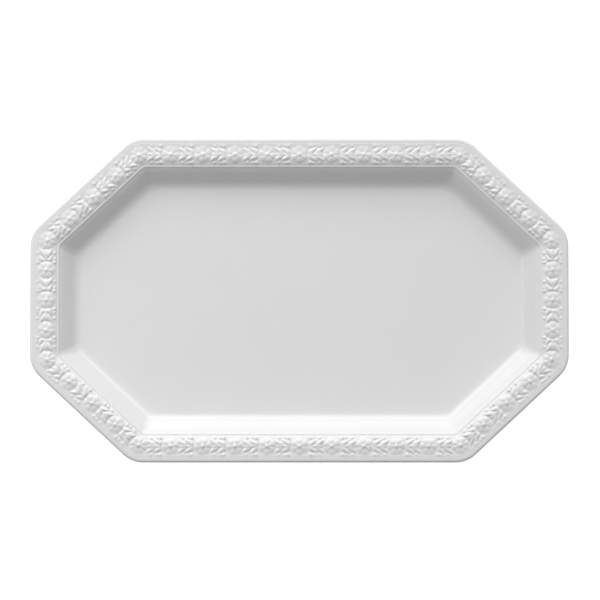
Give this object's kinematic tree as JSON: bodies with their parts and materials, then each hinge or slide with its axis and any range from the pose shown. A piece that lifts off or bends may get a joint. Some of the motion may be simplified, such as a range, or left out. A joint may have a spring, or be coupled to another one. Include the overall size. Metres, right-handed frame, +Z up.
{
  "type": "serving platter",
  "caption": "Oblong octagonal serving platter in white glazed porcelain, with a flat rim that carries a relief border of rosettes and laurel, a sloping well and a foot ring.",
  "frame": {"origin": "on the table, under the middle of the platter", "axes": "+X along the platter's length, +Y across it, +Z up out of the well"},
  "size_m": [0.38, 0.229, 0.0244],
  "materials": {
    "glaze": "glossy white porcelain glaze",
    "relief_glaze": "the same glossy white glaze over moulded relief",
    "biscuit": "fine matt unglazed porcelain"
  },
  "bodies": {
    "root": {"well_floor": "glaze", "well_wall": "glaze", "rim": "glaze", "inner_bead": "glaze", "foot_ring": "biscuit", "garland_right": "relief_glaze", "garland_back_right": "relief_glaze", "garland_back": "relief_glaze", "garland_back_left": "relief_glaze", "garland_left": "relief_glaze", "garland_front_left": "relief_glaze", "garland_front": "relief_glaze", "garland_front_right": "relief_glaze", "corner_rosette_1": "relief_glaze", "corner_rosette_2": "relief_glaze", "corner_rosette_3": "relief_glaze", "corner_rosette_4": "relief_glaze", "corner_rosette_5": "relief_glaze", "corner_rosette_6": "relief_glaze", "corner_rosette_7": "relief_glaze", "corner_rosette_8": "relief_glaze"}
  },
  "joints": []
}
